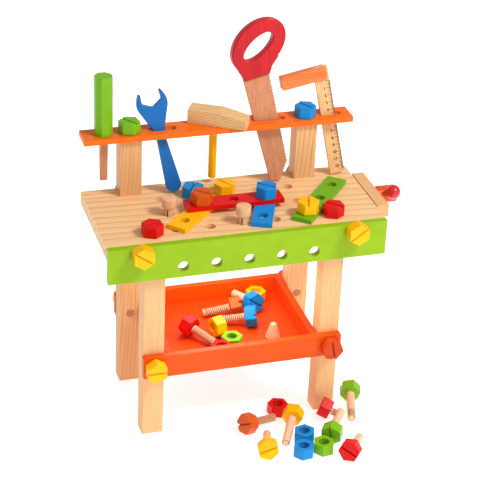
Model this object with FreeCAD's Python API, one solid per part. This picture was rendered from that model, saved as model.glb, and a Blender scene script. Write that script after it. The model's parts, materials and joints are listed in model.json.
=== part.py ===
import FreeCAD, Part
import math
import os

# Toy workbench with its tools, strips, nails, bolts and nuts.  Millimetres, Z up.
# Working frame: X = 0 at the middle of the worktop, Y = 0 on the front face of the apron,
# Z = 0 on the floor.  At the end everything is moved so that the origin is the
# bottom centre of the whole set's bounding box.

V = FreeCAD.Vector
X_AXIS, Y_AXIS, Z_AXIS = V(1, 0, 0), V(0, 1, 0), V(0, 0, 1)

# ---------------------------------------------------------------- driving sizes
TOP_LENGTH = 360.0
TOP_Z = 282.0
TOP_THICK = 17.0
BENCH_DEPTH = 161.0
BOARD = 9.0                 # thickness of apron, rails and tray walls
APRON_HEIGHT = 47.5
EDGE_Z = TOP_Z - TOP_THICK / 2   # height of the holes bored into the worktop's edges

FRAME_X = -2.4              # legs, rails and rack stand this far left of the worktop's middle
LEG_OFFSET = 117.0
LEG_WIDTH = 28.0
LEG_DEPTH = 23.5
POST_Y = 136.5              # front face of the rear posts
RACK_Z = 360.0
RACK_THICK = 7.0
RACK_LENGTH = 356.6
RACK_Y0 = 131.0
RACK_DEPTH = 34.0

RAIL_LENGTH = 264.0
RAIL_Z0 = 90.5
RAIL_HEIGHT = 31.0
TRAY_WALL_GAP = 1.6
TRAY_FLOOR_Z = 97.0
TRAY_FLOOR_THICK = 5.0

HOLE_PITCH = 42.5
HOLE_ROWS = (35.0, 76.5, 118.0)
HOLE_R = 7.0
APRON_HOLE_Z = 249.0
TOP_BOLT_X = 117.6
TOP_BOLT_Y = 30.6
APRON_BOLT_X = 138.0

SHAFT_R = 5.5               # bolt shafts
FIT = 0.06                  # radial play of a turning or sliding fit
LOOSE = 0.5                 # radial play of a plain hole
SEAT = 0.1                  # air under a head, strip or tool that rests on something
HEX_AF = 25.0               # across flats of heads and nuts
HEAD_H = 15.0
SLOT_W = 2.0
SLOT_DEPTH = 3.0
NUT_R = 6.1

STRIP_W = 26.0
STRIP_T = 6.0
STRIP_MARGIN = 21.0

JAW_GAP = 1.6
JAW_THICK = 16.0
JAW_LENGTH = 96.0
JAW_Y = 88.0
GUIDE_OFFSET = 32.0
GUIDE_R = 4.0
SPINDLE_R = 5.0
SPINDLE_Z = 272.3
KNOB_R = 11.4
KNOB_LENGTH = 27.0
BALL_R = 9.6
BAR_R = 3.0
BAR_FROM_END = 10.5         # from the knob's outer face to the bar's axis
BAR_REACH = 21.5            # from the spindle's axis to a ball's centre
BAR_RISE = 32.0             # degrees above level at which the bar stands

PARTS = {}


def box(x0, x1, y0, y1, z0, z1):
    return Part.makeBox(x1 - x0, y1 - y0, z1 - z0, V(x0, y0, z0))


def rod(radius, start, end):
    start, end = V(*start), V(*end)
    return Part.makeCylinder(radius, (end - start).Length, start, end - start)


def prism(outline, depth):
    """Solid from (x, z) points, thickness along Y and centred on Y = 0."""
    points = [V(x, -depth / 2, z) for x, z in outline]
    face = Part.Face(Part.makePolygon(points + points[:1]))
    return face.extrude(V(0, depth, 0))


def round_edges(shape, radius, along):
    """Rounds the straight edges that run along one axis."""
    chosen = [e for e in shape.Edges if abs(e.tangentAt(e.FirstParameter).dot(along)) > 0.99]
    return shape.makeFillet(radius, chosen)


def hex_prism(height, flats=HEX_AF):
    """Hexagon standing on Z = 0, one corner along +X."""
    radius = flats / math.sqrt(3)
    corners = [V(radius * math.cos(math.radians(60 * k)), radius * math.sin(math.radians(60 * k)), 0)
               for k in range(6)]
    return Part.Face(Part.makePolygon(corners + corners[:1])).extrude(V(0, 0, height))


def bolt(shaft_length, slot_angle=0.0, radius=SHAFT_R):
    """Slotted hex bolt: head from Z = 0 up, shaft down."""
    head = hex_prism(HEAD_H)
    slot = box(-HEX_AF, HEX_AF, -SLOT_W / 2, SLOT_W / 2, HEAD_H - SLOT_DEPTH, HEAD_H + 1)
    slot.rotate(V(0, 0, 0), Z_AXIS, slot_angle)
    shaft = rod(radius, (0, 0, 0), (0, 0, -shaft_length))
    return head.cut(slot).fuse(shaft).removeSplitter()


def nut():
    """Hex nut standing on Z = 0."""
    return hex_prism(HEAD_H).cut(rod(NUT_R, (0, 0, -1), (0, 0, HEAD_H + 1)))


def aim(shape, direction, at, spin=0.0):
    """Turns +Z to a direction and moves the shape there."""
    shape.rotate(V(0, 0, 0), Z_AXIS, spin)
    turn = FreeCAD.Rotation(Z_AXIS, V(*direction))
    shape.Placement = FreeCAD.Placement(V(*at), turn).multiply(shape.Placement)
    return shape


def lay(shape, x, y, floor_z, bearing, pitch, spin):
    """Lays a bolt or nut down: its +Z end tips up and its shaft points along the bearing."""
    level = V(-math.cos(math.radians(bearing)), -math.sin(math.radians(bearing)), 0)
    direction = level * math.cos(math.radians(pitch)) + Z_AXIS * math.sin(math.radians(pitch))
    aim(shape, direction, (x, y, floor_z), spin)
    shape.translate(V(0, 0, floor_z - shape.BoundBox.ZMin))
    return shape


def flat_nut(x, y, floor_z, spin):
    shape = nut()
    shape.rotate(V(0, 0, 0), Z_AXIS, spin)
    shape.translate(V(x, y, floor_z))
    return shape


def hang(shape, tilt, lean, at):
    """Leans a tool drawn in the XZ plane: its top goes left by tilt and back by lean."""
    shape.rotate(V(0, 0, 0), Y_AXIS, -tilt)
    shape.rotate(V(0, 0, 0), X_AXIS, -lean)
    shape.translate(V(*at))
    return shape


# ---------------------------------------------------------------- frame
LEG_X = {"left": FRAME_X - LEG_OFFSET, "right": FRAME_X + LEG_OFFSET}
RAIL_X0, RAIL_X1 = FRAME_X - RAIL_LENGTH / 2, FRAME_X + RAIL_LENGTH / 2
RAIL_MID_Z = RAIL_Z0 + RAIL_HEIGHT / 2
POST_BACK = POST_Y + LEG_DEPTH
GRID_X = [HOLE_PITCH * k for k in (-2, -1, 0, 1, 2)]
APRON_BOLT_SHAFT = 35.0
RAIL_BOLT_SHAFT = BOARD + LEG_DEPTH
POST_BOLT_SHAFT = 40.0
HEAD_ROOM = HEX_AF / math.sqrt(3) + 0.6     # half width left free for a turning head
RACK_BOLT_SHAFT = 38.0
TOP_BOLT_SHAFT = 16.0
SPINDLE_DEPTH = 55.0
GUIDE_DEPTH = 37.0


def make_worktop():
    half = TOP_LENGTH / 2
    top = box(-half, half, BOARD, BENCH_DEPTH, TOP_Z - TOP_THICK, TOP_Z)
    for x in LEG_X.values():
        notch = box(x - LEG_WIDTH / 2, x + LEG_WIDTH / 2, POST_Y, BENCH_DEPTH + 1, 0, TOP_Z + 1)
        relief = box(x - HEAD_ROOM, x + HEAD_ROOM, POST_BACK, BENCH_DEPTH + 1, 0, TOP_Z + 1)
        bore = rod(SHAFT_R + FIT, (x, POST_Y + 1, EDGE_Z), (x, POST_BACK - POST_BOLT_SHAFT - 1, EDGE_Z))
        top = top.cut(notch).cut(relief).cut(bore)
    for x in GRID_X:
        for y in HOLE_ROWS:
            top = top.cut(rod(HOLE_R, (x, y, 0), (x, y, TOP_Z + 1)))
    for side in (-1, 1):
        edge = rod(SHAFT_R + FIT, (side * APRON_BOLT_X, 0, EDGE_Z),
                   (side * APRON_BOLT_X, APRON_BOLT_SHAFT + 1, EDGE_Z))
        down = rod(SHAFT_R + FIT, (side * TOP_BOLT_X, TOP_BOLT_Y, TOP_Z - TOP_THICK - 1),
                   (side * TOP_BOLT_X, TOP_BOLT_Y, TOP_Z + 1))
        guide_y = JAW_Y + side * GUIDE_OFFSET
        guide = rod(GUIDE_R + FIT, (half + 1, guide_y, EDGE_Z), (half - GUIDE_DEPTH - 3, guide_y, EDGE_Z))
        top = top.cut(edge).cut(down).cut(guide)
    screw = rod(SPINDLE_R + FIT, (half + 1, JAW_Y, SPINDLE_Z),
                (half - SPINDLE_DEPTH - 3, JAW_Y, SPINDLE_Z))
    PARTS["worktop"] = top.cut(screw)


def make_apron():
    half = TOP_LENGTH / 2
    apron = box(-half, half, 0, BOARD, TOP_Z - APRON_HEIGHT, TOP_Z)
    for x in GRID_X:
        apron = apron.cut(rod(HOLE_R, (x, -1, APRON_HOLE_Z), (x, BOARD + 1, APRON_HOLE_Z)))
    for x in (-APRON_BOLT_X, APRON_BOLT_X):
        apron = apron.cut(rod(SHAFT_R + FIT, (x, -1, EDGE_Z), (x, BOARD + 1, EDGE_Z)))
    PARTS["front_apron"] = apron


def make_legs():
    for side, x in LEG_X.items():
        x0, x1 = x - LEG_WIDTH / 2, x + LEG_WIDTH / 2
        front = box(x0, x1, BOARD, BOARD + LEG_DEPTH, 0, TOP_Z - TOP_THICK)
        front = round_edges(front, 1.5, Z_AXIS)
        front = front.cut(rod(SHAFT_R + FIT, (x, 0, RAIL_MID_Z), (x, 50, RAIL_MID_Z)))
        PARTS[side + "_front_leg"] = front
        post = box(x0, x1, POST_Y, POST_BACK, 0, RACK_Z)
        for z in (RAIL_MID_Z, EDGE_Z):
            post = post.cut(rod(SHAFT_R + FIT, (x, POST_Y - 1, z), (x, POST_BACK + 1, z)))
        middle = RACK_Y0 + RACK_DEPTH / 2
        bore = rod(SHAFT_R + FIT, (x, middle, RACK_Z + 1), (x, middle, RACK_Z - RACK_BOLT_SHAFT + 4))
        PARTS[side + "_rear_post"] = post.cut(bore)


def make_rails():
    for name, y0 in (("front_rail", 0.0), ("rear_rail", POST_BACK)):
        rail = box(RAIL_X0, RAIL_X1, y0, y0 + BOARD, RAIL_Z0, RAIL_Z0 + RAIL_HEIGHT)
        rail = round_edges(rail, 2.5, Y_AXIS)
        for x in LEG_X.values():
            rail = rail.cut(rod(SHAFT_R + FIT, (x, y0 - 1, RAIL_MID_Z), (x, y0 + BOARD + 1, RAIL_MID_Z)))
        PARTS[name] = rail


def make_tray():
    left = LEG_X["left"] + LEG_WIDTH / 2 + TRAY_WALL_GAP
    right = LEG_X["right"] - LEG_WIDTH / 2 - TRAY_WALL_GAP
    top = RAIL_Z0 + RAIL_HEIGHT
    PARTS["tray_left_wall"] = box(left, left + BOARD, BOARD, POST_BACK, RAIL_Z0, top)
    PARTS["tray_right_wall"] = box(right - BOARD, right, BOARD, POST_BACK, RAIL_Z0, top)
    PARTS["tray_bottom"] = box(left + BOARD, right - BOARD, BOARD, POST_BACK,
                               TRAY_FLOOR_Z - TRAY_FLOOR_THICK, TRAY_FLOOR_Z)


# Where each tool goes through the rack: middle of its opening, size along X, size along Y.
RACK_MID_Y = RACK_Y0 + RACK_DEPTH / 2
RACK_MID_Z = RACK_Z + RACK_THICK / 2
DRIVER_X = -152.6
WRENCH_SLOT = (-75.6, 36.0, 11.8)
SAW_SLOT = (65.6, 44.4, 10.0)
SQUARE_SLOT = (149.0, 30.0, 9.6)
HAMMER_AT = (-8.0, 151.0)
HAMMER_YAW = -29.0
HAMMER_HOLE_R = 6.2
DRIVER_HOLE_R = 7.4


def rack_slot(centre_x, length, width):
    """Slot with round ends through the rack."""
    y0, y1 = RACK_MID_Y - width / 2, RACK_MID_Y + width / 2
    reach = length / 2 - width / 2
    cutter = box(centre_x - reach, centre_x + reach, y0, y1, RACK_Z - 1, RACK_Z + RACK_THICK + 1)
    for x in (centre_x - reach, centre_x + reach):
        end = rod(width / 2, (x, RACK_MID_Y, RACK_Z - 1), (x, RACK_MID_Y, RACK_Z + RACK_THICK + 1))
        cutter = cutter.fuse(end)
    return cutter


def make_rack():
    x0, x1 = FRAME_X - RACK_LENGTH / 2, FRAME_X + RACK_LENGTH / 2
    rack = box(x0, x1, RACK_Y0, RACK_Y0 + RACK_DEPTH, RACK_Z, RACK_Z + RACK_THICK)
    rack = round_edges(rack, 1.5, Z_AXIS)
    for slot in (WRENCH_SLOT, SAW_SLOT, SQUARE_SLOT):
        rack = rack.cut(rack_slot(*slot))
    holes = [(DRIVER_X, RACK_MID_Y, DRIVER_HOLE_R), (HAMMER_AT[0], HAMMER_AT[1], HAMMER_HOLE_R)]
    holes += [(x, RACK_MID_Y, SHAFT_R + FIT) for x in LEG_X.values()]
    for x, y, radius in holes:
        rack = rack.cut(rod(radius, (x, y, RACK_Z - 1), (x, y, RACK_Z + RACK_THICK + 1)))
    PARTS["tool_rack"] = rack


# ---------------------------------------------------------------- fasteners of the frame
def make_frame_bolts():
    front, back = (0, -1, 0), (0, 1, 0)
    head_y = -SEAT
    for side, sign, slot in (("left", -1, -35), ("right", 1, 35)):
        x = LEG_X[side]
        PARTS["apron_bolt_" + side] = aim(bolt(APRON_BOLT_SHAFT, slot), front,
                                          (sign * APRON_BOLT_X, head_y, EDGE_Z))
        slot = {"left": 0, "right": 80}[side]
        spin = {"left": 0, "right": 20}[side]
        PARTS["front_rail_bolt_" + side] = aim(bolt(RAIL_BOLT_SHAFT, slot), front,
                                               (x, head_y, RAIL_MID_Z), spin)
        PARTS["rear_rail_bolt_" + side] = aim(bolt(RAIL_BOLT_SHAFT, slot + 30), back,
                                              (x, POST_BACK + BOARD + SEAT, RAIL_MID_Z), 10)
        PARTS["post_bolt_" + side] = aim(bolt(POST_BOLT_SHAFT, slot + 60), back,
                                         (x, POST_BACK + SEAT, EDGE_Z), 25)
        PARTS["rack_bolt_" + side] = aim(bolt(RACK_BOLT_SHAFT, -64 if sign < 0 else -73), (0, 0, 1),
                                         (x, RACK_MID_Y, RACK_Z + RACK_THICK + SEAT), 12)
        PARTS["worktop_bolt_" + side] = aim(bolt(TOP_BOLT_SHAFT, 2 if sign < 0 else -50), (0, 0, 1),
                                            (sign * TOP_BOLT_X, TOP_BOLT_Y, TOP_Z + SEAT), 5)


# ---------------------------------------------------------------- vice
def make_vice():
    inner = TOP_LENGTH / 2 + JAW_GAP
    outer = inner + JAW_THICK
    jaw = box(inner, outer, JAW_Y - JAW_LENGTH / 2, JAW_Y + JAW_LENGTH / 2, TOP_Z - TOP_THICK, TOP_Z)
    jaw = jaw.cut(rod(SPINDLE_R + FIT, (inner - 1, JAW_Y, SPINDLE_Z), (outer + 1, JAW_Y, SPINDLE_Z)))
    pins = []
    for side in (-1, 1):
        y = JAW_Y + side * GUIDE_OFFSET
        jaw = jaw.cut(rod(GUIDE_R, (inner - 1, y, EDGE_Z), (outer + 1, y, EDGE_Z)))
        pins.append(rod(GUIDE_R, (TOP_LENGTH / 2 - GUIDE_DEPTH, y, EDGE_Z), (outer, y, EDGE_Z)))
    PARTS["vice_jaw"] = jaw
    PARTS["vice_guide_pins"] = Part.makeCompound(pins)

    knob_x0, knob_x1 = outer + 0.4, outer + 0.4 + KNOB_LENGTH
    bar_x = knob_x1 - BAR_FROM_END
    spindle = rod(SPINDLE_R, (TOP_LENGTH / 2 - SPINDLE_DEPTH, JAW_Y, SPINDLE_Z),
                  (knob_x0 + 12, JAW_Y, SPINDLE_Z))
    knob = rod(KNOB_R, (knob_x0, JAW_Y, SPINDLE_Z), (knob_x1, JAW_Y, SPINDLE_Z))
    rim = [e for e in knob.Edges if len(e.Vertexes) == 1 and e.Length > 6 * KNOB_R]
    knob = knob.makeFillet(2.0, rim).cut(spindle)
    rise = math.radians(BAR_RISE)
    toward = V(0, -math.cos(rise), math.sin(rise))
    centre = V(bar_x, JAW_Y, SPINDLE_Z)
    bar = rod(BAR_R, centre - toward * BAR_REACH, centre + toward * BAR_REACH)
    balls = [Part.makeSphere(BALL_R, centre + toward * (side * BAR_REACH)).cut(bar) for side in (-1, 1)]
    PARTS["vice_spindle"] = spindle
    PARTS["vice_knob"] = knob.cut(bar)
    PARTS["vice_bar"] = bar
    PARTS["vice_balls"] = Part.makeCompound(balls)


# ---------------------------------------------------------------- strips and what holds them
def strip(holes, first):
    """Flat strip along +X whose first hole is at the origin; "first" offsets the hole row."""
    length = HOLE_PITCH * (holes - 1)
    shape = box(-STRIP_MARGIN, length + STRIP_MARGIN, -STRIP_W / 2, STRIP_W / 2, 0, STRIP_T)
    for k in range(holes):
        x = HOLE_PITCH * k
        shape = shape.cut(rod(HOLE_R - 0.5, (x, 0, -1), (x, 0, STRIP_T + 1)))
    shape.translate(V(-HOLE_PITCH * first, 0, 0))
    return shape


def place_strip(name, holes, first, at, bearing, layer):
    shape = strip(holes, first)
    shape.rotate(V(0, 0, 0), Z_AXIS, bearing)
    lift = TOP_Z + SEAT + layer * (STRIP_T + SEAT)
    shape.translate(V(at[0], at[1], lift))
    PARTS[name] = shape


NEAR, MIDDLE, FAR = HOLE_ROWS
ORANGE_AT = (-HOLE_PITCH, MIDDLE)
BLUE_AT = (HOLE_PITCH, MIDDLE)
YELLOW_AT = (2 * HOLE_PITCH, NEAR)
LOOSE_BLUE_AT = (-HOLE_PITCH, FAR)
LOOSE_YELLOW_AT = (0.0, FAR)


def make_strips():
    place_strip("yellow_strip", 2, 0, ORANGE_AT, 225, 0)
    place_strip("blue_strip", 2, 0, BLUE_AT, 248, 0)
    place_strip("red_strip", 3, 0, ORANGE_AT, 0, 1)
    place_strip("green_strip", 3, 0, YELLOW_AT, 50, 0)

    def standing(name, at, layers, slot, spin, shaft):
        z = TOP_Z + SEAT + layers * (STRIP_T + SEAT)
        PARTS[name] = aim(bolt(shaft, slot), (0, 0, 1), (at[0], at[1], z), spin)

    standing("strip_bolt_orange", ORANGE_AT, 2, -57, 20, 38)
    standing("strip_bolt_blue", BLUE_AT, 2, -82, 40, 38)
    standing("strip_bolt_yellow", YELLOW_AT, 1, 48, 25, 38)
    standing("loose_bolt_blue", LOOSE_BLUE_AT, 0, 30, 30, 38)
    standing("loose_bolt_yellow", LOOSE_YELLOW_AT, 0, -88, 27, 38)


NAIL_HEAD_R = 9.7
NAIL_HEAD_H = 13.0
NAIL_STEM_R = 6.3
NAIL_STAND = 11.0           # how far the head stays above the worktop
NAIL_STEM = 27.0
NAIL_TURN = 60.0


def nail():
    """Wooden nail: its head rises from Z = 0, its split stem hangs below."""
    head = Part.makeCone(NAIL_HEAD_R - 0.5, NAIL_HEAD_R, NAIL_HEAD_H)
    shank = rod(NAIL_STEM_R, (0, 0, 0), (0, 0, 3 - NAIL_STEM))
    tip = Part.makeCone(NAIL_STEM_R - 1.0, NAIL_STEM_R, 3, V(0, 0, -NAIL_STEM))
    slit = box(-NAIL_HEAD_R, NAIL_HEAD_R, -0.8, 0.8, -NAIL_STEM - 1, -2)
    return head.fuse([shank, tip]).cut(slit).removeSplitter()


def make_nails():
    for name, at in (("nail_left", (-2 * HOLE_PITCH, MIDDLE)), ("nail_right", (0.0, NEAR))):
        shape = nail()
        shape.rotate(V(0, 0, 0), Z_AXIS, NAIL_TURN)
        shape.translate(V(at[0], at[1], TOP_Z + NAIL_STAND))
        PARTS[name] = shape


# ---------------------------------------------------------------- tools
def make_screwdriver():
    rest = RACK_Z + RACK_THICK + SEAT
    flats = 22.0
    side = flats * math.tan(math.radians(22.5)) / 2
    half = flats / 2
    ring = [(half, side), (side, half), (-side, half), (-half, side),
            (-half, -side), (-side, -half), (side, -half), (half, -side)]
    points = [V(x, y, 0) for x, y in ring]
    handle = Part.Face(Part.makePolygon(points + points[:1])).extrude(V(0, 0, 79))
    blade_top, blade_tip = 14.0, RACK_Z + RACK_THICK - 302.0
    outline = [V(0, -4.5, blade_top), V(0, 4.5, blade_top), V(0, 4.5, -12), V(0, 1.2, -blade_tip),
               V(0, -1.2, -blade_tip), V(0, -4.5, -12)]
    blade = Part.Face(Part.makePolygon(outline + outline[:1])).extrude(V(10, 0, 0))
    blade.translate(V(-5, 0, 0))
    handle = handle.cut(blade)
    for name, shape in (("screwdriver_handle", handle), ("screwdriver_blade", blade)):
        shape.translate(V(DRIVER_X, RACK_MID_Y, rest))
        PARTS[name] = shape


WRENCH_TILT, WRENCH_LEAN = 12.8, 10.84
SAW_TILT, SAW_LEAN = 12.7, 8.35
SQUARE_TILT, SQUARE_LEAN = 10.6, 6.48
WRENCH_AT = (-80.3, RACK_MID_Y, RACK_MID_Z)
SAW_AT = (63.0, RACK_MID_Y, RACK_MID_Z)
SQUARE_AT = (146.2, RACK_MID_Y, RACK_MID_Z)
WRENCH_T = 8.0


def make_wrench():
    """Open-ended wrench; its mouth fits the hex heads."""
    mouth = HEX_AF / 2 + 0.2
    head_z, head_r = 38.0, 20.0
    tip_x, tip_z = 14.4, 54.5
    end_z, end_r = -72.5, 10.0
    t = WRENCH_T

    def disc(x, z, radius):
        return Part.makeCylinder(radius, t, V(x, -t / 2, z), Y_AXIS)

    neck = prism([(-8.6, 6), (8.6, 6), (19, 32), (-19, 32)], t)
    waist = prism([(-6.0, -12), (6.0, -12), (8.6, 6), (-8.6, 6)], t)
    grip = prism([(-end_r, end_z), (end_r, end_z), (6.0, -12), (-6.0, -12)], t)
    shape = disc(0, head_z, head_r).fuse([neck, waist, grip, disc(0, end_z, end_r)])
    for side in (-1, 1):
        prong = [(side * mouth, 44), (side * 18.9, 44), (side * 17.6, 48.5), (side * tip_x, tip_z)]
        shape = shape.fuse(prism(prong, t))
    drop = mouth / math.sqrt(3)
    low = 33.4
    cutter = prism([(0, low), (mouth, low + drop), (mouth, 46), (mouth - 1, 70),
                    (1 - mouth, 70), (-mouth, 46), (-mouth, low + drop)], 3 * t)
    shape = shape.cut(cutter).removeSplitter()
    PARTS["wrench"] = hang(shape, WRENCH_TILT, WRENCH_LEAN, WRENCH_AT)


def make_saw():
    handle_t, blade_t = 13.0, 5.0
    centre = V(10.6, -handle_t / 2, 102.8)
    slope = 29.0

    def oval(major, minor, depth):
        ring = Part.Ellipse(V(0, 0, 0), major, minor)
        solid = Part.Face(Part.Wire(ring.toShape())).extrude(V(0, 0, depth))
        solid.rotate(V(0, 0, 0), X_AXIS, 90)
        solid.rotate(V(0, 0, 0), Y_AXIS, -slope)
        solid.translate(V(centre.x, depth / 2, centre.z))
        return solid

    neck = prism([(-17.5, 62.5), (16.5, 62.5), (22, 72), (33, 82), (5, 100), (-26, 88)], handle_t)
    handle = oval(40.5, 28.6, handle_t).fuse(neck).removeSplitter()
    hole = oval(24.0, 10.2, 3 * handle_t)
    hole.translate(V(-1.0, 0, -1.0))
    handle = handle.cut(hole)

    # The blade narrows to the tip and has its teeth on the right edge.
    left_top, left_low = -18.6, -13.6
    right_top, right_low = 17.2, 15.0
    top_z, low_z, tip_z, tang_z = 64.0, -58.0, -82.5, 72.0
    teeth = 30
    step = (top_z - low_z) / teeth
    edge = []
    for k in range(teeth):
        z = low_z + step * k
        x = right_low + (right_top - right_low) * (z - low_z) / (top_z - low_z)
        edge += [(x, z), (x - 1.6, z + step * 0.55)]
    outline = [(left_top, top_z), (left_low, tip_z + 3), (left_low + 13, tip_z)] + edge
    outline += [(right_top - 2, top_z), (right_top - 2, tang_z),
                (left_top + 2, tang_z), (left_top + 2, top_z)]
    blade = prism(outline, blade_t)
    PARTS["saw_handle"] = hang(handle.cut(blade), SAW_TILT, SAW_LEAN, SAW_AT)
    PARTS["saw_blade"] = hang(blade, SAW_TILT, SAW_LEAN, SAW_AT)


def make_square():
    rule_w, rule_t, stock_t = 19.2, 5.0, 12.0
    top_z, low_z, stock_z0 = 69.5, -80.9, 51.8
    rule = box(-rule_w / 2, rule_w / 2, -rule_t / 2, rule_t / 2, low_z, top_z)
    stock = box(-55.0, rule_w / 2 - 3.0, -stock_t / 2, stock_t / 2, stock_z0, top_z)
    stock = round_edges(stock, 2.0, Y_AXIS).cut(rule)
    PARTS["square_stock"] = hang(stock, SQUARE_TILT, SQUARE_LEAN, SQUARE_AT)
    PARTS["square_rule"] = hang(rule, SQUARE_TILT, SQUARE_LEAN, SQUARE_AT)


def make_hammer():
    """Wedge-nosed head lying on the rack, its handle hanging through the hole."""
    length, width, height = 77.0, 24.0, 19.6
    grip_at, handle_r, handle_low, socket = 32.0, 5.3, 290.0, 14.0
    rest = RACK_Z + RACK_THICK + SEAT
    profile = [(-grip_at, 0), (length - grip_at, 0), (length - grip_at, 12.0), (42 - grip_at, height),
               (-grip_at, height)]
    head = prism(profile, width)
    handle = rod(handle_r, (0, 0, handle_low - rest), (0, 0, socket))
    head = head.cut(handle)
    for name, shape in (("hammer_head", head), ("hammer_handle", handle)):
        shape.rotate(V(0, 0, 0), Z_AXIS, HAMMER_YAW)
        shape.translate(V(HAMMER_AT[0], HAMMER_AT[1], rest))
        PARTS[name] = shape


# ---------------------------------------------------------------- loose pieces
SHORT, LONG, STUB = 37.0, 47.0, 17.0    # shafts of the loose bolts
LIE = math.degrees(math.atan((HEX_AF / 2 - SHAFT_R) / SHORT))
LIE_LONG = math.degrees(math.atan((HEX_AF / 2 - SHAFT_R) / LONG))


def make_tray_pieces():
    """Each bolt: its base plane's middle, the way its shaft points, nose-down pitch and roll."""
    z = TRAY_FLOOR_Z + SEAT
    bolts = [lay(bolt(SHORT, 159), 43.2, 123.2, z, 108.7, LIE, 0),
             lay(bolt(SHORT, 0), 12.4, 114.3, z, 173.3, LIE, 30),
             lay(bolt(SHORT, 11), 25.4, 85.0, z, 162.5, LIE, 30),
             lay(bolt(SHORT, 0), -50.0, 72.0, z, 305, LIE, 0)]
    PARTS["tray_bolts"] = Part.makeCompound(bolts)
    nuts = [flat_nut(58.6, 146.0, z, 10), flat_nut(-25, 23.9, z, 22.7), flat_nut(-6, 42.0, z, 22.7),
            lay(nut(), -10.3, 71.9, z, 16, 0, 0)]
    PARTS["tray_nuts"] = Part.makeCompound(nuts)
    peg = Part.makeCone(NAIL_HEAD_R, NAIL_HEAD_R - 1, 5).fuse(Part.makeCone(8.6, 3.6, 16, V(0, 0, 5)))
    peg.translate(V(53, 50, z))
    PARTS["tray_nail"] = peg.removeSplitter()


def make_floor_pieces():
    small = [lay(bolt(SHORT, 113), 7.2, -18.5, 0, 21.5, LIE, 30),
             lay(bolt(SHORT, 8), 11.9, -71.8, 0, 73.9, LIE, 0),
             lay(bolt(SHORT, 120), 115.0, -101.5, 0, 52.3, LIE, 0),
             lay(bolt(SHORT, 36), 106.0, -57.0, 0, 56, -6, 30),
             lay(bolt(STUB, 0), 117.0, -13.5, 0, -32, 20, 0)]
    PARTS["floor_short_bolts"] = Part.makeCompound(small)
    large = [lay(bolt(LONG, 0), 60.7, -21.9, 0, -117.9, LIE_LONG, 0),
             lay(bolt(LONG, 0), 154.8, 13.9, 0, -107, LIE_LONG, 0)]
    PARTS["floor_long_bolts"] = Part.makeCompound(large)
    nuts = [flat_nut(52.9, 14.6, 0, 10), flat_nut(68.0, -51.7, 0, 42), flat_nut(56.8, -82.5, 0, 38),
            flat_nut(84.5, -81.1, 0, 38)]
    PARTS["floor_nuts"] = Part.makeCompound(nuts)


def build():
    for make in (make_worktop, make_apron, make_legs, make_rails, make_tray, make_rack,
                 make_frame_bolts, make_vice, make_strips, make_nails, make_screwdriver,
                 make_wrench, make_saw, make_square, make_hammer, make_tray_pieces,
                 make_floor_pieces):
        make()
    bounds = Part.makeCompound(list(PARTS.values())).BoundBox
    shift = V(-bounds.Center.x, -bounds.Center.y, -bounds.ZMin)
    for shape in PARTS.values():
        shape.translate(shift)
    return shift


SHIFT = build()

if __name__ == "__main__":
    os.makedirs("parts", exist_ok=True)
    for node, shape in PARTS.items():
        shape.exportStep("parts/" + node + ".step")
    print(len(PARTS), "nodes, moved by", SHIFT)
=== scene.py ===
import json
import math

import bmesh
import bpy
import numpy as np
from mathutils import Matrix, Vector


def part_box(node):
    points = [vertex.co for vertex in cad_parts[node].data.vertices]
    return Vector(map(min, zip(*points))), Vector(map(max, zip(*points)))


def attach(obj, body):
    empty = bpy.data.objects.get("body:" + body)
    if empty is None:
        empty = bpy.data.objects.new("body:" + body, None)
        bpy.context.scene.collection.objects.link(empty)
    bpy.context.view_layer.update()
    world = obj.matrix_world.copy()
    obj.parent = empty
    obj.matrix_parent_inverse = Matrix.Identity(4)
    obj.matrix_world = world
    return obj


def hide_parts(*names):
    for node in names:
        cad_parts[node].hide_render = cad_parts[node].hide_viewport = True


# Looks of the toy workbench, in metres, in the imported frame.

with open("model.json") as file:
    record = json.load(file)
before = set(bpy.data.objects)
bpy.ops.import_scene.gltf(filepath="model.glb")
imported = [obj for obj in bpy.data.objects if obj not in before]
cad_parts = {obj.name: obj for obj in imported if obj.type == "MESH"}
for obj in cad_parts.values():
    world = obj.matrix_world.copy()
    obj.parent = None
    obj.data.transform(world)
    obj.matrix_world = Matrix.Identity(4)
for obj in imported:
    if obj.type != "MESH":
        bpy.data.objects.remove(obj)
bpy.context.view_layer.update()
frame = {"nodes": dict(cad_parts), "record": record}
NODES = frame["nodes"]
BODY_OF = {n: b for b, ns in frame["record"]["behaviour"]["bodies"].items() for n in ns}
top_lo, top_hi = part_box("worktop")
APRON_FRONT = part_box("front_apron")[0].y
BENCH = Vector(((top_lo.x + top_hi.x) / 2, APRON_FRONT, 0))     # the CAD's working origin


# ---------------------------------------------------------------- sizes of the fine detail
EDGE_SOFTNESS = 0.0006      # rounding of a board's edges
BLADE_SOFTNESS = 0.0003
WELD_REACH = 0.00001
THREAD_PITCH, THREAD_DEPTH = 0.0026, 0.0012
TIP_CHAMFER = 0.0005        # the first turn of a thread is this much thinner
NECK = 0.0012               # plain length under a bolt's head
HEAD_OVERLAP = 0.0005       # how far a shaft runs up into its head
SLOT_WIDTH, SLOT_DEPTH, SLOT_LENGTH = 0.002, 0.003, 0.05
FULL, NONE = 1, 0           # threaded lengths longer than any shaft, and none
CORNER_SOFTNESS = 0.0010    # rounding of a hexagon's corners


# ---------------------------------------------------------------- colours (linear)
def srgb(r, g, b):
    def line(c):
        c /= 255
        return c / 12.92 if c <= 0.04045 else ((c + 0.055) / 1.055) ** 2.4
    return (line(r), line(g), line(b), 1.0)


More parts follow.
